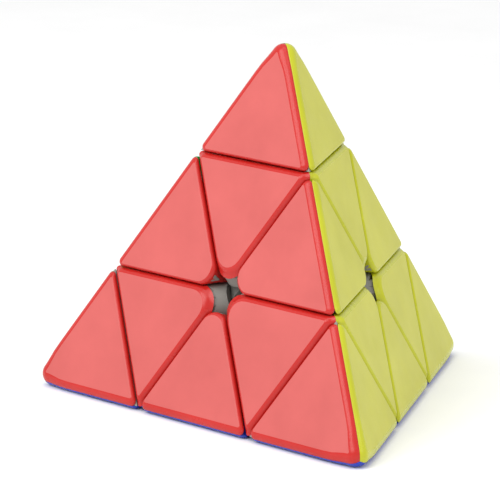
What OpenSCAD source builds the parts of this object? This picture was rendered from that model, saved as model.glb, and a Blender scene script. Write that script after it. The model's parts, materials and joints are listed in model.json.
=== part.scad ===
// Pyramid twisty puzzle: a regular tetrahedron cut by four pairs of planes.
// The origin is the centre of the core, where the four turning axes meet.
// +Z runs through the top corner, and the base faces -Z.
// Corners: top, left, right, rear. Faces: red in front, yellow right, green left, blue below.

/* [Overall] */
// Length of one edge of the pyramid, over its rounded corners
edge_length = 275; // [230:5:320]
// Radius of the rounded outer edges
edge_rounding = 5.6; // [3:0.2:7]
// Radius of the ball that rounds each outer corner
nose_radius = 7.5; // [5.6:0.1:9]
// How far each tip's cut sits below an exact third of the height
tip_drop = 4.3; // [0:0.1:6]
// Half of the clearance between neighbouring pieces
half_gap = 0.5; // [0.4:0.05:0.7]

/* [Coloured shells] */
// Thickness of the coloured panels
panel_thickness = 3; // [2:0.25:4]
// Thickness of the coloured walls beside the grooves
wall_thickness = 2.5; // [1.5:0.25:3.5]
// Depth of the coloured walls on the edge pieces
edge_wall_depth = 18; // [12:1:20]
// Depth of the rim on the axial lids
lid_rim_depth = 6; // [4.5:0.5:9]
// Radius of the rounded corners around the middle of each face
corner_radius = 12; // [9:0.5:15]
// Width of the bevel along every groove
groove_bevel = 2; // [1:0.25:3]

/* [Mechanism] */
// Radius of the ball-shaped space inside, where the feet of the edge pieces run
ball_radius = 42; // [38:0.5:44]
// Radius of the core's ball
core_radius = 20; // [18:0.5:21]
// How far the feet reach under the axial pieces, past the layer cuts
foot_hook = 9.6; // [6:0.2:11]
// Wall thickness of the grey bodies
body_wall = 3; // [2:0.25:4]
// Depth of the hollows behind the lids of the axial pieces
pocket_depth = 30; // [15:1:35]
// Radius of the core's four arms
arm_radius = 7; // [6:0.25:8]
// Radius of the sleeve that each axial body has around its core arm
sleeve_radius = 13; // [12:0.5:14.5]
// Radius of the hollow that the edge feet leave around each sleeve
hub_radius = 22; // [20:0.5:24]
// Running clearance of round parts that turn in one another
running_gap = 0.4; // [0.3:0.05:0.6]

/* [Fasteners] */
// Radius of the axis screws
screw_radius = 2.5; // [2:0.25:3]
// Radius of the screw heads
head_radius = 6; // [5:0.25:6.5]
// Height of the screw heads
head_height = 4.5; // [3:0.5:5.5]
// Wire radius of the springs
wire_radius = 0.8; // [0.5:0.1:1]
// Middle radius of the spring coils
coil_radius = 4.6; // [4.4:0.1:5]
// Height that one turn of a spring takes
coil_pitch = 4.6; // [3:0.2:6]
// Radius of the snap stems that hold the tips
stem_radius = 6.6; // [5.5:0.25:6.6]

/* [Hidden] */
$fn = 64;
TOP = 0;
LEFT = 1;
RIGHT = 2;
REAR = 3;
AROUND = [LEFT, RIGHT, REAR];
CORNERS = ["top", "left", "right", "rear"];
// Colour of the face opposite each corner
FACES = ["blue", "yellow", "green", "red"];
PAINT = ["#1e3caa", "#c8c864", "#1f9a3c", "#e85a50"];
GREY = "#8c8780";
STEEL = "silver";
EDGES = [[0, 1], [0, 2], [0, 3], [1, 2], [2, 3], [3, 1]];
// Unit vectors from the centre to the corners
AXIS = [
    [0, 0, 1],
    [-sqrt(6) / 3, -sqrt(2) / 3, -1 / 3],
    [sqrt(6) / 3, -sqrt(2) / 3, -1 / 3],
    [0, 2 * sqrt(2) / 3, -1 / 3]
];

// The pyramid as it would be with sharp edges and corners
sharp_edge = edge_length + nose_radius * (2 * sqrt(6) - 2);
pyramid_height = sharp_edge * sqrt(2 / 3);
face_distance = pyramid_height / 4;
corner_distance = pyramid_height * 3 / 4;
rim_distance = sharp_edge * sqrt(2) / 4;
// Distances of the two cuts from the centre, along each corner's axis
layer_cut = pyramid_height / 12;
tip_cut = pyramid_height * 5 / 12 - tip_drop;
foot_cut = layer_cut - foot_hook;
reach = sharp_edge;
// Sine of the angle between a turning axis and the normal of a face beside it
lean = 2 * sqrt(2) / 3;

// The stack along each axis, as distances from the centre
seat_thickness = 5;
seat_sink = 2;
seat_bottom = ball_radius - seat_sink;
seat_top = seat_bottom + seat_thickness;
sleeve_rise = 5;
arm_play = 2;
arm_end = seat_bottom - arm_play;
screw_bite = 4;
screw_end = core_radius - screw_bite;
lip_bottom = tip_cut - half_gap - wall_thickness - body_wall;
cup_wall = 3.5;
cup_radius = sleeve_radius - cup_wall;
snap_length = 9;
stem_bottom = lip_bottom - snap_length;
stem_rise = 22;
stem_top = tip_cut + stem_rise;
bead_height = 3;
bead_play = 0.8;
bead_radius = cup_radius - bead_play;
head_room = 6;
head_top = stem_bottom - head_room;
head_bottom = head_top - head_height;
washer_thickness = 1.5;
spring_top = head_bottom - washer_thickness;
// Clearance of pieces that are fixed to one another, and of the seams between colours
seat_clearance = 0.1;
slot_width = 2;
stem_wall = 2.2;
post_wall = 4;
post_radius = stem_radius + post_wall;
rib_thickness = 3;
coil_steps = 14;
wire_sides = 6;

function tip_name(v, part) = str(CORNERS[v], "_tip_", part);
function axial_name(v, part) = str(CORNERS[v], "_axial_", part);
function edge_name(e, part) = str(CORNERS[e[0]], "_", CORNERS[e[1]], "_edge_", part);

// The corners that a list leaves out
function others(list) = [for (k = [0 : 3]) if (len(search(k, list)) == 0) k];
function unit(v) = v / norm(v);
// Direction within the face opposite corner w, from its middle toward corner k
function in_face(w, k) = unit(AXIS[k] + AXIS[w] / 3);
// 1 or -1, by which way round a list of corners goes
function hand(list) = sign(cross(AXIS[list[0]], AXIS[list[1]]) * AXIS[list[2]]);
// The list of corners, with two of them exchanged where that keeps it right-handed
function ordered(list, i, j) =
    hand(list) == hand([0, 1, 2, 3]) ? list
    : [for (k = [0 : 3]) k == i ? list[j] : k == j ? list[i] : list[k]];
// The corners that stand in for top, left, right and rear when a piece is set at corner v, on face w
function at_corner(v, w) = let (rest = others([v, w])) ordered([v, rest[0], rest[1], w], 1, 2);
// The same for a piece on edge e, with the face opposite corner w in front
function at_edge(e, w) = ordered([e[0], e[1], others([e[0], e[1], w])[0], w], 0, 1);

// All space whose distance along a direction is less than the given one
module below(direction, distance) {
    d = unit(direction);
    rotate([0, acos(d.z), atan2(d.y, d.x)])
        translate([-reach, -reach, distance - 2 * reach])
            cube(2 * reach);
}

module above(direction, distance) {
    below(-direction, -distance);
}

// A plate through the origin, square to a direction
module plate(direction, thickness) {
    d = unit(direction);
    rotate([0, acos(d.z), atan2(d.y, d.x)])
        cube([2 * reach, 2 * reach, thickness], center = true);
}

// A cylinder on an axis through the origin, between two distances from it
module on_axis(direction, radius, from, to) {
    rotate([0, acos(direction.z), atan2(direction.y, direction.x)])
        translate([0, 0, from])
            cylinder(r = radius, h = to - from);
}

// Puts a shape in a frame with the given X and Y directions
module in_frame(x, y) {
    z = cross(x, y);
    multmatrix([[x.x, y.x, z.x, 0], [x.y, y.y, z.y, 0], [x.z, y.z, z.z, 0]])
        children();
}

// The bevel of a panel on face w beside the cut of corner k; side is 1 outside that cut, -1 inside it
module bevel_limit(w, k, cut, side) {
    slope = 40;
    border = (cut - face_distance / 3) / lean;
    direction = -AXIS[w] * cos(slope) - side * in_face(w, k) * sin(slope);
    below(direction, cos(slope) * face_distance - sin(slope) * (side * border + groove_bevel));
}

// One coordinate of the axes of a list of corners
function spread(list, i) = [for (k = list) AXIS[k][i]];

// Turns a piece made at the top, left, right and rear corners to the corners in a list
module placed(list) {
    home = [TOP, LEFT, RIGHT, REAR];
    multmatrix([
        for (i = [0 : 2])
            [for (j = [0 : 2]) spread(list, i) * spread(home, j) * 3 / 4, 0]
    ])
        children();
}

// All space on the near side of the plane that faces a direction and touches a ball
module touching(direction, middle, radius) {
    below(direction, unit(direction) * middle + radius);
}

// The outer edge between two corners, rounded by three flats that touch its rounding
module outer_edge_limit(a, b) {
    crest = unit(AXIS[a] + AXIS[b]);
    middle = crest * (rim_distance - edge_rounding * sqrt(3));
    sides = others([a, b]);
    intersection_for (direction = [crest, crest - AXIS[sides[0]], crest - AXIS[sides[1]]])
        touching(direction, middle, edge_rounding);
}

// The outer corner at the top, rounded in the same way
module nose_limit() {
    middle = AXIS[TOP] * (corner_distance - 3 * nose_radius);
    crests = [for (k = AROUND) AXIS[TOP] + unit(AXIS[TOP] + AXIS[k])];
    intersection_for (direction = concat([AXIS[TOP]], crests))
        touching(direction, middle, nose_radius);
}

// The half of space that is nearer to face w than to face k, less a margin
module nearer_face(w, k, margin = seat_clearance) {
    above(AXIS[k] - AXIS[w], margin);
}

// The layer near face w, down to a depth
module near_face(w, depth) {
    above(-AXIS[w], face_distance - depth);
}

// Every piece below is made once: a tip and an axial piece at the top corner,
// and an edge piece between the top and left corners. Their panels are on the red face, opposite the rear corner.
// AROUND lists the corners around the top one.

// ---- Tips ----

module tip_space(face_inset = 0, cut_inset = 0) {
    intersection() {
        above(AXIS[TOP], tip_cut + half_gap + cut_inset);
        intersection_for (k = AROUND)
            below(-AXIS[k], face_distance - face_inset);
    }
}

module tip_block() {
    intersection() {
        tip_space();
        nose_limit();
        intersection_for (k = AROUND)
            outer_edge_limit(TOP, k);
        intersection_for (w = AROUND)
            bevel_limit(w, TOP, tip_cut, 1);
    }
}

// The hollow behind the panels of a tip
module tip_hollow(cut_inset = 0) {
    intersection() {
        tip_space(panel_thickness, cut_inset);
        below(AXIS[TOP], corner_distance - 2 * nose_radius - panel_thickness);
    }
}

module tip_cap() {
    difference() {
        intersection() {
            tip_block();
            intersection_for (k = [LEFT, RIGHT])
                nearer_face(REAR, k);
        }
        tip_hollow(-1);
    }
}

module tip_base() {
    difference() {
        intersection() {
            tip_hollow();
            union() {
                below(AXIS[TOP], tip_cut + half_gap + body_wall);
                on_axis(AXIS[TOP], post_radius, tip_cut, stem_top + body_wall);
                for (k = AROUND)
                    plate(cross(AXIS[TOP], AXIS[k]), rib_thickness);
            }
        }
        on_axis(AXIS[TOP], stem_radius + seat_clearance, tip_cut, stem_top + seat_clearance);
    }
}

module tip_stem() {
    bead_top = lip_bottom - half_gap;
    slot_height = lip_bottom + 2 - stem_bottom;
    difference() {
        union() {
            on_axis(AXIS[TOP], stem_radius, stem_bottom, stem_top);
            on_axis(AXIS[TOP], bead_radius, bead_top - bead_height, bead_top);
        }
        on_axis(AXIS[TOP], stem_radius - stem_wall, stem_bottom - 1, stem_top - body_wall);
        for (turn = [0, 90])
            rotate([0, 0, turn])
                translate([-cup_radius, -slot_width / 2, stem_bottom - 1])
                    cube([2 * cup_radius, slot_width, slot_height + 1]);
    }
}

// ---- Axial pieces ----

module axial_space(face_inset = 0, cut_inset = 0) {
    intersection() {
        above(AXIS[TOP], layer_cut + half_gap + cut_inset);
        below(AXIS[TOP], tip_cut - half_gap - cut_inset);
        intersection_for (k = AROUND)
            below(AXIS[k], layer_cut - half_gap - cut_inset);
        intersection_for (k = AROUND)
            below(-AXIS[k], face_distance - face_inset);
    }
}

// Rounds the corner between the cuts of corners j and k, along the line where they would meet
module axial_corner_cut(j, k) {
    // Half of the angle between the two cuts, and where they meet
    half_angle = atan(sqrt(2) / 2);
    meet = -(layer_cut - half_gap) * sqrt(3);
    radius = corner_radius * 1.1;
    middle = meet + radius / sin(half_angle);
    in_frame(unit(AXIS[j] - AXIS[k]), -unit(AXIS[j] + AXIS[k]))
        difference() {
            translate([-radius, meet - 1, -reach])
                cube([2 * radius, middle - radius * sin(half_angle) - meet + 1, 2 * reach]);
            translate([0, middle, -reach])
                cylinder(r = radius, h = 2 * reach);
        }
}

module axial_block() {
    difference() {
        intersection() {
            axial_space();
            intersection_for (k = AROUND)
                outer_edge_limit(TOP, k);
            intersection_for (w = AROUND) {
                intersection() {
                    bevel_limit(w, TOP, tip_cut, -1);
                    intersection_for (k = others([TOP, w]))
                        bevel_limit(w, k, layer_cut, -1);
                }
            }
        }
        axial_corner_cut(LEFT, RIGHT);
        axial_corner_cut(RIGHT, REAR);
        axial_corner_cut(REAR, LEFT);
        sphere(r = ball_radius + half_gap);
    }
}

module axial_lid() {
    difference() {
        intersection() {
            axial_block();
            near_face(REAR, lid_rim_depth);
            intersection_for (k = [LEFT, RIGHT])
                nearer_face(REAR, k);
        }
        axial_space(panel_thickness, wall_thickness);
    }
}

module axial_pocket(w) {
    difference() {
        intersection() {
            axial_space(panel_thickness - 1, wall_thickness + body_wall);
            near_face(w, pocket_depth);
            intersection_for (k = others([TOP, w]))
                nearer_face(w, k, rib_thickness / 2);
        }
        sphere(r = ball_radius + half_gap + body_wall);
        on_axis(AXIS[TOP], sleeve_radius, 0, corner_distance);
    }
}

module axial_body() {
    difference() {
        union() {
            intersection() {
                axial_block();
                axial_space(panel_thickness, wall_thickness);
            }
            intersection() {
                axial_block();
                intersection_for (k = AROUND)
                    below(-AXIS[k], face_distance - lid_rim_depth);
            }
            on_axis(AXIS[TOP], sleeve_radius, core_radius - 1, seat_top + sleeve_rise);
        }
        for (w = AROUND)
            axial_pocket(w);
        sphere(r = core_radius + half_gap);
        on_axis(AXIS[TOP], arm_radius + running_gap, 0, seat_bottom);
        on_axis(AXIS[TOP], screw_radius + 2 * running_gap, 0, seat_top + 1);
        on_axis(AXIS[TOP], cup_radius, seat_top, lip_bottom);
        on_axis(AXIS[TOP], stem_radius + running_gap, lip_bottom - 1, tip_cut + 1);
    }
}

// ---- Edge pieces ----

module edge_space(face_inset = 0, cut_inset = 0) {
    intersection() {
        intersection_for (k = [TOP, LEFT]) {
            intersection() {
                above(AXIS[k], layer_cut + half_gap + cut_inset);
                below(AXIS[k], tip_cut - half_gap - cut_inset);
            }
        }
        intersection_for (w = [RIGHT, REAR])
            below(-AXIS[w], face_distance - face_inset);
    }
}

// Rounds the corner of the panel on face w, whose third corner is k
module edge_corner_cut(w, k) {
    middle = 2 * (corner_radius + half_gap / lean);
    depth = edge_wall_depth + body_wall;
    y = in_face(w, k);
    in_frame(cross(y, -AXIS[w]), y)
        translate([0, 0, face_distance - depth])
            difference() {
                translate([-corner_radius - 1, corner_radius / 2 - middle, 0])
                    cube([2 * corner_radius + 2, 2 * corner_radius, depth + 1]);
                translate([0, -middle, -1])
                    cylinder(r = corner_radius, h = depth + 3);
            }
}

module edge_block() {
    difference() {
        intersection() {
            edge_space();
            outer_edge_limit(TOP, LEFT);
            intersection_for (w = [RIGHT, REAR]) {
                intersection_for (k = [TOP, LEFT])
                    bevel_limit(w, k, layer_cut, 1);
            }
        }
        edge_corner_cut(RIGHT, REAR);
        edge_corner_cut(REAR, RIGHT);
    }
}

module edge_shell() {
    difference() {
        intersection() {
            edge_block();
            near_face(REAR, edge_wall_depth);
            nearer_face(REAR, RIGHT);
        }
        edge_space(panel_thickness, wall_thickness);
        sphere(r = ball_radius);
    }
}

module edge_foot() {
    difference() {
        intersection() {
            sphere(r = ball_radius - half_gap);
            intersection_for (k = [TOP, LEFT])
                above(AXIS[k], foot_cut + half_gap);
            intersection_for (k = [RIGHT, REAR])
                below(AXIS[k], foot_cut - half_gap);
        }
        for (k = [TOP, LEFT])
            on_axis(AXIS[k], hub_radius, 0, ball_radius);
    }
}

module edge_pocket() {
    difference() {
        edge_space(panel_thickness - 1, wall_thickness + body_wall);
        plate(AXIS[RIGHT] - AXIS[REAR], rib_thickness);
        sphere(r = ball_radius + body_wall);
    }
}

module edge_body() {
    difference() {
        union() {
            intersection() {
                edge_block();
                edge_space(panel_thickness, wall_thickness);
            }
            intersection() {
                edge_block();
                intersection_for (w = [RIGHT, REAR])
                    below(-AXIS[w], face_distance - edge_wall_depth);
            }
            edge_foot();
        }
        edge_pocket();
        sphere(r = core_radius + half_gap);
    }
}

// ---- Core and fasteners ----

module core() {
    difference() {
        union() {
            sphere(r = core_radius);
            for (v = AXIS)
                on_axis(v, arm_radius, screw_end, arm_end);
        }
        for (v = AXIS)
            on_axis(v, screw_radius + seat_clearance, screw_end - 1, arm_end + 1);
    }
}

module axis_screw() {
    socket_radius = head_radius / 2;
    difference() {
        union() {
            on_axis(AXIS[TOP], screw_radius, screw_end, head_bottom);
            on_axis(AXIS[TOP], head_radius, head_bottom, head_top);
        }
        on_axis(AXIS[TOP], socket_radius, head_bottom + head_height / 2, head_top + 1);
    }
}

module axis_washer() {
    difference() {
        on_axis(AXIS[TOP], head_radius, spring_top, head_bottom - seat_clearance);
        on_axis(AXIS[TOP], screw_radius + seat_clearance, spring_top - 1, head_bottom);
    }
}

// Points of one ring of the spring's wire, at an angle along the coil
function wire_ring(angle, height) = [
    for (s = [0 : wire_sides - 1])
        let (turn = 360 * s / wire_sides, r = coil_radius + wire_radius * cos(turn))
            [r * cos(angle), r * sin(angle), height + wire_radius * sin(turn)]
];

module axis_spring() {
    bottom = seat_top + half_gap / 2 + wire_radius;
    top = spring_top - seat_clearance - wire_radius;
    rings = floor((top - bottom) / coil_pitch) * coil_steps;
    points = [
        for (i = [0 : rings])
            each wire_ring(360 * i / coil_steps, bottom + (top - bottom) * i / rings)
    ];
    sides = [
        for (i = [0 : rings - 1], s = [0 : wire_sides - 1])
            let (next = (s + 1) % wire_sides, j = i * wire_sides)
                [j + s, j + s + wire_sides, j + next + wire_sides, j + next]
    ];
    first = [for (s = [0 : wire_sides - 1]) s];
    last = [for (s = [wire_sides - 1 : -1 : 0]) rings * wire_sides + s];
    polyhedron(points, concat(sides, [first, last]));
}

// The four copies of a fastener, one on each axis
module on_all_axes() {
    for (v = [TOP : REAR])
        placed(at_corner(v, others([v])[0]))
            children();
}

for (v = [TOP : REAR]) {
    stand = at_corner(v, others([v])[0]);
    color(GREY) placed(stand) tip_base();
    color(GREY) placed(stand) tip_stem();
    color(GREY) placed(stand) axial_body();
    for (w = others([v])) {
        color(PAINT[w]) placed(at_corner(v, w)) tip_cap();
        color(PAINT[w]) placed(at_corner(v, w)) axial_lid();
    }
}
for (e = EDGES) {
    color(GREY) placed(at_edge(e, others(e)[0])) edge_body();
    for (w = others(e)) {
        color(PAINT[w]) placed(at_edge(e, w)) edge_shell();
    }
}
color(GREY) core();
color(STEEL) on_all_axes() axis_screw();  // axis_screws
color(STEEL) on_all_axes() axis_spring();  // axis_springs
color(STEEL) on_all_axes() axis_washer();  // axis_washers
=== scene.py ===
"""Visual model of a pyramid twisty puzzle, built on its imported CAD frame."""
import json
import math
import bmesh
import bpy
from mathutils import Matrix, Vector


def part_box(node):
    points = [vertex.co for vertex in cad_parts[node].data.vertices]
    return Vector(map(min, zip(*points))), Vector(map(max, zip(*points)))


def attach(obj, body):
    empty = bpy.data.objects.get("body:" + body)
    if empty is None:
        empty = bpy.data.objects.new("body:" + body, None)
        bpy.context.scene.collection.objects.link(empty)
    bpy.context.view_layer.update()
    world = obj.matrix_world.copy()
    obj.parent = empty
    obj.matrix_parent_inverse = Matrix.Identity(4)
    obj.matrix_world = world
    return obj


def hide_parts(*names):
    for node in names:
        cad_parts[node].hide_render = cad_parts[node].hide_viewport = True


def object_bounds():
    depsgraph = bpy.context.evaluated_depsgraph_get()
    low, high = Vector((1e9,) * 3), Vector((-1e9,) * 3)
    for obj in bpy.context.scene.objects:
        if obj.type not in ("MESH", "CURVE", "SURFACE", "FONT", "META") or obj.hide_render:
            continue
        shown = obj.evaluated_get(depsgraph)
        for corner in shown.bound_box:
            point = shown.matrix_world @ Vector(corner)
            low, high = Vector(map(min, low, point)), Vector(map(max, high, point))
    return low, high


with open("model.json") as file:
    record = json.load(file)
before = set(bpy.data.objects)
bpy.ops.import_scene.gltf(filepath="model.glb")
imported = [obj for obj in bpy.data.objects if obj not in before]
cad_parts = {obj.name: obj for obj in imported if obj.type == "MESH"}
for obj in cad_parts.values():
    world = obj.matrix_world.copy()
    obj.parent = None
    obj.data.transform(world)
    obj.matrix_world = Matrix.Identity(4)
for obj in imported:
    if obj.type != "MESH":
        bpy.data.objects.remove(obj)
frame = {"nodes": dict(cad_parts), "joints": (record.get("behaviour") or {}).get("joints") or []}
cad_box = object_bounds()

MM = 0.001
CORNERS = ("top", "left", "right", "rear")
# Colour of the face opposite each corner
FACE_COLOURS = {"top": "blue", "left": "yellow", "right": "green", "rear": "red"}
EDGES = (
    ("top", "left"), ("top", "right"), ("top", "rear"),
    ("left", "right"), ("right", "rear"), ("rear", "left"),
)

# Geometry shared by all pieces, in metres
AXES = {
    corner: Vector(joint["axis"])
    for joint in frame["joints"]
    for corner in CORNERS
    if joint["name"] == corner + "_layer_turn"
}
face_distance = -min(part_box(corner + "_tip_blue")[0].z for corner in ("left", "right", "rear"))
tip_cut = (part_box("top_axial_body")[1].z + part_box("top_tip_base")[0].z) / 2
LEAN = 2 * math.sqrt(2) / 3
# Distances from the middle of a face to its layer cuts, its tip cuts and its outer edges
layer_line = 0.0
tip_line = (tip_cut - face_distance / 3) / LEAN
outer_line = face_distance * math.sqrt(2)
# How far a cut leans for each unit of depth, and the same for the seam along an outer edge
CUT_SLOPE = 1 / math.sqrt(8)
MITRE_SLOPE = math.sqrt(2)

# Sizes of the coloured shells
half_gap = 0.53 * MM
bevel_width = 2.2 * MM
bevel_depth = 2.4 * MM
# Share of a straight chamfer in the bevel's rounding
bevel_flatness = 0.45
edge_rounding = 5.6 * MM
nose_radius = 7.0 * MM
# Radius of the flat part's corner at the nose, and how far down the edge the nose blends into it
nose_flat = 1.0 * MM
nose_blend = 16 * MM
hole_radius = 12 * MM
# An axial corner is rounded about the slanted line where its two cuts meet, which stretches it in the face
axial_radius = 13.2 * MM
axial_stretch = math.sqrt(1.5)
# How far the shells stand proud of the grey bodies at the hole, and how deep an axial shell reaches there
hole_cover = 0.12 * MM
hole_rim_depth = 3.6 * MM
point_radius = 3.2 * MM
panel_thickness = 3.0 * MM
wall_thickness = 2.5 * MM
edge_wall_depth = 18 * MM
lid_rim_depth = 6 * MM
tip_wall_depth = 9 * MM
seam = 0.06 * MM
bevel_steps = 8
arc_steps = 8
side_steps = 10

# How far the flat panel colour runs in past the start of a bevel
panel_margin = 0.5 * MM
# Steps down the inside of a mitred seam, just above its inner edge and in from it
seam_steps = (0.25 * MM, 0.05 * MM)
seam_return = 0.4 * MM
least_radius = 0.7 * MM
# Bevel on the edges of the grey and steel bodies, and the angle in degrees above which it applies
softened_edge = 0.25 * MM
softened_above = 40
# Depths below the crest of the nose at which its shell follows the seam inward
nose_steps = (0.4 * MM, 0.9 * MM, 2.4 * MM)
# Distance from the sharp edge to the crest of the rounded one
crest_inset = MITRE_SLOPE * edge_rounding - edge_rounding * math.sqrt(2 / 3)


def in_face(face, corner):
    """Direction within the face opposite one corner, from its middle toward another corner."""
    return (AXES[corner] + AXES[face] / 3).normalized()


def smooth(t):
    return t * t * (3 - 2 * t)


# ---- Outlines of the nine panels of a face ----


class Side:
    """One straight side of a panel: its outward direction, its distance from the face's middle,
    and the way its wall leans."""

    def __init__(self, normal, distance, lean):
        self.normal = normal
        self.distance = distance
        self.lean = lean


RIDGE = "ridge"


def panel_sides(face, kind, corners):
    """The three sides of a tip, axial or edge panel, as directions in the face."""
    others = [c for c in CORNERS if c != face and c not in corners]
    if kind == "tip":
        sides = [Side(-in_face(face, corners[0]), -tip_line, CUT_SLOPE)]
        sides += [Side(-in_face(face, c), outer_line, RIDGE) for c in others]
    elif kind == "axial":
        sides = [Side(in_face(face, corners[0]), tip_line, -CUT_SLOPE)]
        sides += [Side(in_face(face, c), -layer_line, -CUT_SLOPE) for c in others]
    else:
        sides = [Side(-in_face(face, c), -layer_line, CUT_SLOPE) for c in corners]
        sides.append(Side(-in_face(face, others[0]), outer_line, RIDGE))
    return sides


def meeting(a, da, b, db):
    """The point of the plane where two lines meet, given by unit directions and distances."""
    det = a.x * b.y - a.y * b.x
    return Vector(((da * b.y - db * a.y) / det, (a.x * db - b.x * da) / det))


def side_profile(lean, wall_depth):
    """Pairs of inset and depth from the panel down the outside of one side and back up its inside."""
    rows = []
    if lean == RIDGE:
        start = MITRE_SLOPE * edge_rounding
        rows.append((start + panel_margin, 0.0))
        turn = math.atan(MITRE_SLOPE)
        for step in range(bevel_steps + 1):
            angle = turn * step / bevel_steps
            rows.append((start - edge_rounding * math.sin(angle), edge_rounding * (1 - math.cos(angle))))
        for above in seam_steps:
            depth = panel_thickness - above
            rows.append((MITRE_SLOPE * depth + seam, depth))
        rows.append((MITRE_SLOPE * panel_thickness + seam_return, panel_thickness))
        return rows
    rows.append((half_gap + bevel_width + panel_margin, 0.0))
    for step in range(bevel_steps + 1):
        angle = math.pi / 2 * step / bevel_steps
        straight = step / bevel_steps
        depth = bevel_depth * (1 - math.cos(angle) + (math.cos(angle) - 1 + straight) * bevel_flatness)
        inward = bevel_width * (1 - math.sin(angle) + (math.sin(angle) - straight) * bevel_flatness)
        rows.append((half_gap + inward + lean * depth, depth))
    rows.append((half_gap + lean * wall_depth, wall_depth))
    rows.append((half_gap + wall_thickness + lean * wall_depth, wall_depth))
    rows.append((half_gap + wall_thickness + lean * panel_thickness, panel_thickness))
    return rows


def point_corner(side, after, insets, depths, lean, inset):
    """One row of a small rounded corner between two sides, as pairs of place and depth."""
    slant = 0 if lean == RIDGE else lean * depths[0]
    radius = max(point_radius - inset + half_gap + slant, least_radius)
    middle = meeting(
        side.flat, side.distance - insets[0] - radius,
        after.flat, after.distance - insets[1] - radius,
    )
    arc = []
    for t, around in arc_directions(side, after):
        arc.append((middle + around * radius, depths[0] + (depths[1] - depths[0]) * smooth(t)))
    return arc


def arc_directions(side, after):
    """Outward directions round a corner, each with its share of the turn."""
    start = math.atan2(side.flat.y, side.flat.x)
    turn = (math.atan2(after.flat.y, after.flat.x) - start) % (2 * math.pi)
    for step in range(arc_steps + 1):
        angle = start + turn * step / arc_steps
        yield step / arc_steps, Vector((math.cos(angle), math.sin(angle)))


def rim_depth(depth, t):
    """Depth of a row across a corner at the hole, where the shell reaches less far down."""
    if depth <= hole_rim_depth:
        return depth
    return hole_rim_depth + (depth - hole_rim_depth) * smooth(min(abs(2 * t - 1) ** 4, 1))


def axial_hole_corner(side, after, inset, depth):
    """One row of an axial panel's corner at the hole, rounded along the slanted line of its two cuts."""
    base = half_gap + side.lean * depth
    shrink = inset - base - hole_cover
    along = (side.flat + after.flat).normalized()
    across = Vector((-along.y, along.x))
    long_radius = axial_radius * axial_stretch
    support = lambda n: math.hypot(long_radius * n.dot(along), axial_radius * n.dot(across))
    middle = meeting(
        side.flat, side.distance - base - support(side.flat),
        after.flat, after.distance - base - support(after.flat),
    )
    arc = []
    for t, around in arc_directions(side, after):
        out = along * (long_radius ** 2 * around.dot(along))
        out += across * (axial_radius ** 2 * around.dot(across))
        place = middle + out / support(around) - around * shrink
        arc.append((place, rim_depth(depth, t)))
    return arc


def edge_hole_corner(side, after, inset, depth):
    """One row of an edge panel's corner at the hole: a rounding square to the face, between leaning walls."""
    base = half_gap + side.lean * depth
    radius = hole_radius + hole_cover - (inset - base)
    along = (side.flat + after.flat).normalized()
    middle = -along * 2 * (hole_radius + half_gap)
    arc = []
    for t, around in arc_directions(side, after):
        point = middle + around * radius
        for wall in (side, after):
            point = point - wall.flat * max(wall.flat.dot(point) - wall.distance + inset, 0)
        arc.append((point, depth))
    return arc


def fillet_depth(inset):
    """Depth of the rounded outer edge below the face, at a distance from the sharp edge."""
    reach = MITRE_SLOPE * edge_rounding - inset
    if reach <= 0:
        return 0.0
    return edge_rounding - math.sqrt(max(edge_rounding ** 2 - min(reach, edge_rounding) ** 2, 0))


def crest_angle(alpha):
    """How far the nose curves down, in one direction, before it meets the seam with the next face."""
    low, high = 0.0, math.pi / 2
    for _ in range(30):
        angle = (low + high) / 2
        inset = MITRE_SLOPE * nose_radius + nose_flat
        inset -= (nose_flat + nose_radius * math.sin(angle)) * math.cos(alpha)
        if inset > MITRE_SLOPE * nose_radius * (1 - math.cos(angle)):
            low = angle
        else:
            high = angle
    return low


def nose_offset(row, alpha):
    """Distance out from the middle of the nose's corner, and depth, for one row and direction."""
    crest = crest_angle(min(alpha, 2 * math.pi / 3 - alpha))
    if row == 0:
        return 0.5 * nose_flat, 0.0
    if row <= bevel_steps + 1:
        angle = crest * (row - 1) / bevel_steps
        return nose_flat + nose_radius * math.sin(angle), nose_radius * (1 - math.cos(angle))
    # Below the crest the shell follows the seam inward
    out, depth = nose_flat + nose_radius * math.sin(crest), nose_radius * (1 - math.cos(crest))
    step = nose_steps[row - bevel_steps - 2]
    return out - step * MITRE_SLOPE, depth + step


def nose_arc(side, after, row):
    """Points of one row around the nose, as pairs of place and depth."""
    centre_inset = MITRE_SLOPE * nose_radius + nose_flat
    middle = meeting(side.flat, side.distance - centre_inset, after.flat, after.distance - centre_inset)
    start = math.atan2(side.flat.y, side.flat.x)
    arc = []
    for step in range(arc_steps + 1):
        alpha = 2 * math.pi / 3 * step / arc_steps
        out, depth = nose_offset(row, alpha)
        arc.append((middle + Vector((math.cos(start + alpha), math.sin(start + alpha))) * out, depth))
    return arc


def straight_part(last, first, side, regular, from_nose, to_nose):
    """Points of one row between two corners; near the nose they blend into the plain edge."""
    points = []
    length = (first[0] - last[0]).length
    for step in range(1, side_steps):
        t = step / side_steps
        if from_nose or to_nose:
            # Closer steps near the nose
            t = t * t if from_nose else 1 - (1 - t) ** 2
        place, depth = last[0].lerp(first[0], t), last[1] + (first[1] - last[1]) * t
        if from_nose or to_nose:
            away = length * (t if from_nose else 1 - t)
            nose_end = last if from_nose else first
            near = 1 - smooth(min(away / nose_blend, 1))
            inset = side.distance - side.flat.dot(place)
            nose_inset = side.distance - side.flat.dot(nose_end[0])
            wanted = regular[0] + (nose_inset - regular[0]) * near
            depth = regular[1] + (nose_end[1] - regular[1]) * near
            place = place + side.flat * (inset - wanted)
        points.append((place, depth))
    return points


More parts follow.
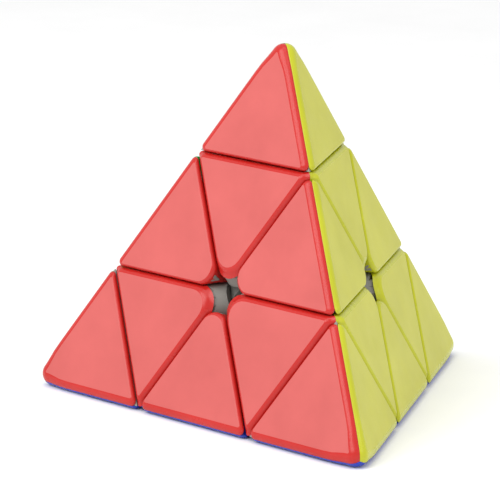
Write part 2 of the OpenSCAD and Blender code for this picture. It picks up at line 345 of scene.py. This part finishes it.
def shell_rows(face, kind, corners, wall_depth):
    """Rings of points, in face coordinates and depth, from the panel round to the shell's inside."""
    normal = -AXES[face]
    x_axis = in_face(face, [c for c in CORNERS if c != face][0])
    y_axis = normal.cross(x_axis)
    flat = lambda v: Vector((v.dot(x_axis), v.dot(y_axis)))
    sides = panel_sides(face, kind, corners)
    for side in sides:
        side.flat = flat(side.normal)
    sides.sort(key=lambda s: math.atan2(s.flat.y, s.flat.x))
    profiles = [side_profile(side.lean, wall_depth) for side in sides]
    ridges = [flat(-in_face(face, c)) for c in CORNERS if c != face]
    rows = []
    nose_index = None
    for row in range(len(profiles[0])):
        insets = [p[row][0] for p in profiles]
        depths = [p[row][1] for p in profiles]
        rings = []
        for i, side in enumerate(sides):
            j = (i + 1) % 3
            after = sides[j]
            corner = meeting(side.flat, side.distance, after.flat, after.distance)
            at_hole = corner.length < 2 * MM
            at_nose = kind == "tip" and side.lean == RIDGE and after.lean == RIDGE
            if at_nose:
                rings.append(nose_arc(side, after, row))
                nose_index = i
                continue
            if at_hole and kind == "axial":
                rings.append(axial_hole_corner(side, after, insets[i], depths[i]))
                continue
            if at_hole:
                rings.append(edge_hole_corner(side, after, insets[i], depths[i]))
                continue
            k = i if side.lean != RIDGE else j
            rings.append(point_corner(
                side, after, (insets[i], insets[j]), (depths[i], depths[j]), sides[k].lean, insets[k],
            ))
        ring = []
        for i in range(3):
            ring += straight_part(
                rings[i - 1][-1], rings[i][0], sides[i], profiles[i][row],
                (i - 1) % 3 == nose_index, i == nose_index,
            )
            ring += rings[i]
        if nose_index is None:
            ring = [under_rounding(p, d, ridges) for p, d in ring]
        ring = [(p, above_seams(p, d, ridges)) for p, d in ring]
        rows.append(ring)
    return rows, normal, x_axis, y_axis


def under_rounding(point, depth, ridges):
    """Keeps a point under the rounded outer edges."""
    for ridge in ridges:
        inset = outer_line - ridge.dot(point)
        if inset < crest_inset:
            point = point - ridge * (crest_inset - inset)
            inset = crest_inset
        depth = max(depth, fillet_depth(inset))
    return point, depth


def above_seams(point, depth, ridges):
    """Keeps a point's depth above the seams with the neighbouring faces."""
    for ridge in ridges:
        depth = min(depth, (outer_line - ridge.dot(point) - seam) / MITRE_SLOPE)
    return max(depth, 0)


def make_shell(name, face, kind, corners, wall_depth, body, node):
    """One coloured shell, as a closed mesh."""
    rows, normal, x_axis, y_axis = shell_rows(face, kind, corners, wall_depth)
    middle = normal * face_distance
    mesh = bpy.data.meshes.new(name)
    bm = bmesh.new()
    grid = []
    for ring in rows:
        grid.append([bm.verts.new(middle + x_axis * p.x + y_axis * p.y - normal * d) for p, d in ring])
    count = len(grid[0])
    panel = [bm.faces.new(grid[0])]
    for upper, lower in zip(grid, grid[1:]):
        for i in range(count):
            j = (i + 1) % count
            face_made = bm.faces.new((upper[i], lower[i], lower[j], upper[j]))
            if upper is grid[0]:
                panel.append(face_made)
    bm.faces.new(list(reversed(grid[-1])))
    for face_made in bm.faces:
        face_made.smooth = True
        face_made.material_index = 1
    for face_made in panel:
        face_made.material_index = 0
    bmesh.ops.recalc_face_normals(bm, faces=bm.faces)
    # The bottom of the wall keeps sharp edges
    for ring in grid[-3:]:
        for i in range(count):
            edge = bm.edges.get((ring[i], ring[(i + 1) % count]))
            if edge:
                edge.smooth = False
    bm.to_mesh(mesh)
    bm.free()
    piece = bpy.data.objects.new(name, mesh)
    bpy.context.scene.collection.objects.link(piece)
    colour = FACE_COLOURS[face]
    mesh.materials.append(MATERIALS[colour + "_panel"])
    mesh.materials.append(MATERIALS[colour + "_bevel"])
    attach(piece, body)
    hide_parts(node)
    return piece


# ---- Materials ----


def node_tree(name):
    material = bpy.data.materials.new(name)
    material.use_nodes = True
    tree = material.node_tree
    return material, tree, tree.nodes["Principled BSDF"]


def noise(tree, coords, scale, detail=3.0, roughness=0.55):
    texture = tree.nodes.new("ShaderNodeTexNoise")
    texture.inputs["Scale"].default_value = scale
    texture.inputs["Detail"].default_value = detail
    texture.inputs["Roughness"].default_value = roughness
    tree.links.new(coords.outputs["Object"], texture.inputs["Vector"])
    return texture.outputs["Fac"]


def ramp(tree, value, low, high, start, end):
    """A grey ramp from one level to another over part of a value's range."""
    node = tree.nodes.new("ShaderNodeMapRange")
    node.inputs["From Min"].default_value = low
    node.inputs["From Max"].default_value = high
    node.inputs["To Min"].default_value = start
    node.inputs["To Max"].default_value = end
    tree.links.new(value, node.inputs["Value"])
    return node.outputs["Result"]


def mix_colour(tree, factor, first, second):
    """A colour between two, by a factor; each colour is a fixed colour or a socket."""
    node = tree.nodes.new("ShaderNodeMix")
    node.data_type = "RGBA"
    tree.links.new(factor, node.inputs["Factor"])
    for socket, value in ((node.inputs[6], first), (node.inputs[7], second)):
        if isinstance(value, tuple):
            socket.default_value = (*value, 1)
        else:
            tree.links.new(value, socket)
    return node.outputs[2]


def plastic(name, colour, grain_depth, roughness, gloss_change, wear):
    """Moulded plastic: mottled colour, fine texture, smudged gloss and faint scuffs."""
    material, tree, shader = node_tree(name)
    coords = tree.nodes.new("ShaderNodeTexCoord")
    dark = tuple(c * 0.93 for c in colour)
    light = tuple(min(c * 1.04 + 0.006, 1) for c in colour)
    mottle = ramp(tree, noise(tree, coords, 26, 4), 0.3, 0.7, 0.0, 1.0)
    base = mix_colour(tree, mottle, dark, light)
    scuffs = ramp(tree, noise(tree, coords, 310, 6, 0.72), 0.63, 0.75, 0.0, wear)
    pale = tuple(min(c * 0.75 + 0.22, 1) for c in colour)
    base = mix_colour(tree, scuffs, base, pale)
    tree.links.new(base, shader.inputs["Base Color"])
    smudges = ramp(tree, noise(tree, coords, 60, 5, 0.6), 0.3, 0.72, roughness, roughness + gloss_change)
    tree.links.new(smudges, shader.inputs["Roughness"])
    bump = tree.nodes.new("ShaderNodeBump")
    bump.inputs["Strength"].default_value = grain_depth
    bump.inputs["Distance"].default_value = 0.00008
    tree.links.new(noise(tree, coords, 2600, 2), bump.inputs["Height"])
    tree.links.new(bump.outputs["Normal"], shader.inputs["Normal"])
    shader.inputs["IOR"].default_value = 1.5
    shader.inputs["Specular IOR Level"].default_value = 0.36
    return material


def brushed_steel(name):
    """Turned steel with fine rings and darker streaks."""
    material, tree, shader = node_tree(name)
    coords = tree.nodes.new("ShaderNodeTexCoord")
    streaks = ramp(tree, noise(tree, coords, 900, 4), 0.3, 0.7, 0.0, 1.0)
    base = mix_colour(tree, streaks, (0.46, 0.46, 0.47), (0.62, 0.62, 0.63))
    tree.links.new(base, shader.inputs["Base Color"])
    tree.links.new(ramp(tree, noise(tree, coords, 140, 3), 0.3, 0.7, 0.22, 0.4), shader.inputs["Roughness"])
    shader.inputs["Metallic"].default_value = 1.0
    bump = tree.nodes.new("ShaderNodeBump")
    bump.inputs["Strength"].default_value = 0.25
    bump.inputs["Distance"].default_value = 0.00005
    tree.links.new(noise(tree, coords, 3000, 2), bump.inputs["Height"])
    tree.links.new(bump.outputs["Normal"], shader.inputs["Normal"])
    return material


SHELL_COLOURS = {
    "red": ((0.555, 0.1, 0.092), (0.5, 0.014, 0.01)),
    "yellow": ((0.545, 0.535, 0.056), (0.5, 0.51, 0.012)),
    "green": ((0.07, 0.42, 0.13), (0.025, 0.36, 0.075)),
    "blue": ((0.035, 0.085, 0.5), (0.012, 0.04, 0.42)),
}


def make_materials():
    made = {}
    for colour, (panel, bevel) in SHELL_COLOURS.items():
        made[colour + "_panel"] = plastic(colour + "_frosted_panel", panel, 0.35, 0.42, 0.08, 0.05)
        made[colour + "_bevel"] = plastic(colour + "_glossy_bevel", bevel, 0.08, 0.2, 0.1, 0.16)
    made["grey"] = plastic("grey_body_plastic", (0.27, 0.26, 0.235), 0.5, 0.46, 0.14, 0.12)
    made["grey_core"] = plastic("grey_core_plastic", (0.2, 0.2, 0.19), 0.5, 0.42, 0.14, 0.12)
    made["steel"] = brushed_steel("turned_steel")
    return made


MATERIALS = make_materials()


# ---- The puzzle ----


def make_shells():
    for corner in CORNERS:
        for face in CORNERS:
            if face == corner:
                continue
            colour = FACE_COLOURS[face]
            node = corner + "_tip_" + colour
            make_shell(node + "_shell", face, "tip", (corner,), tip_wall_depth, corner + "_tip", node)
            node = corner + "_axial_" + colour
            make_shell(node + "_shell", face, "axial", (corner,), lid_rim_depth, corner + "_axial", node)
    for a, b in EDGES:
        for face in CORNERS:
            if face in (a, b):
                continue
            name = a + "_" + b + "_edge"
            node = name + "_" + FACE_COLOURS[face]
            make_shell(node + "_shell", face, "edge", (a, b), edge_wall_depth, name, node)


def finish_cad_nodes():
    """Gives the carried-over bodies their materials and softened edges."""
    for name, node in frame["nodes"].items():
        if name.startswith("axis_"):
            material = MATERIALS["steel"]
        elif name == "core" or name.endswith("_stem"):
            material = MATERIALS["grey_core"]
        elif name.endswith("_body") or name.endswith("_base"):
            material = MATERIALS["grey"]
        else:
            continue
        node.data.materials.clear()
        node.data.materials.append(material)
        bevel = node.modifiers.new("softened_edges", "BEVEL")
        bevel.width = softened_edge
        bevel.segments = 2
        bevel.limit_method = "ANGLE"
        bevel.angle_limit = math.radians(softened_above)


# ---- Floor, light and camera ----

camera_azimuth = 43.47
camera_elevation = 14.37
camera_distance = 2.431
aim_right = -21.4 * MM
aim_up = 35.2 * MM
field_of_view = 7.343
floor_gap = 0.2 * MM


def make_floor():
    height = cad_box[0][2] - floor_gap
    bpy.ops.mesh.primitive_circle_add(vertices=96, radius=14, fill_type="NGON", location=(0, 0, height))
    ground = bpy.context.object
    ground.name = "studio_floor"
    material, tree, shader = node_tree("pale_floor")
    coords = tree.nodes.new("ShaderNodeTexCoord")
    speckle = ramp(tree, noise(tree, coords, 9, 3), 0.3, 0.7, 0.0, 1.0)
    base = mix_colour(tree, speckle, (0.9, 0.9, 0.9), (0.93, 0.93, 0.93))
    tree.links.new(base, shader.inputs["Base Color"])
    shader.inputs["Roughness"].default_value = 0.9
    shader.inputs["Specular IOR Level"].default_value = 0.1
    ground.data.materials.append(material)


def add_light(name, azimuth, elevation, distance, size, power, tint=(1, 1, 1)):
    light = bpy.data.lights.new(name, "AREA")
    light.shape = "SQUARE"
    light.size = size
    light.energy = power
    light.color = tint
    lamp = bpy.data.objects.new(name, light)
    place = direction(azimuth, elevation) * distance
    lamp.location = place
    lamp.rotation_euler = (-place).to_track_quat("-Z", "Y").to_euler()
    bpy.context.scene.collection.objects.link(lamp)


def direction(azimuth, elevation):
    """Unit vector toward a place around the object; azimuth 0 is in front, on the -Y side."""
    a, e = math.radians(azimuth), math.radians(elevation)
    return Vector((math.sin(a) * math.cos(e), -math.cos(a) * math.cos(e), math.sin(e)))


def make_lights():
    world = bpy.data.worlds.new("soft_white")
    world.use_nodes = True
    background = world.node_tree.nodes["Background"]
    background.inputs["Color"].default_value = (1, 1, 1, 1)
    background.inputs["Strength"].default_value = 0.85
    bpy.context.scene.world = world
    add_light("key_soft", -8, 42, 2.2, 1.5, 26)
    add_light("top_soft", 20, 80, 2.4, 1.6, 12)
    add_light("right_soft", 108, 25, 2.4, 1.0, 5)


def make_camera():
    place = direction(camera_azimuth, camera_elevation) * camera_distance
    right = Vector((math.cos(math.radians(camera_azimuth)), math.sin(math.radians(camera_azimuth)), 0))
    up = right.cross(-place.normalized())
    target = right * aim_right + up * aim_up
    camera = bpy.data.cameras.new("camera")
    camera.lens_unit = "FOV"
    camera.angle = math.radians(field_of_view)
    camera.clip_end = 50
    holder = bpy.data.objects.new("camera", camera)
    holder.location = place
    holder.rotation_euler = (target - place).to_track_quat("-Z", "Y").to_euler()
    bpy.context.scene.collection.objects.link(holder)
    bpy.context.scene.camera = holder


make_shells()
finish_cad_nodes()
make_floor()
make_lights()
make_camera()
bpy.context.scene.view_settings.view_transform = "Standard"
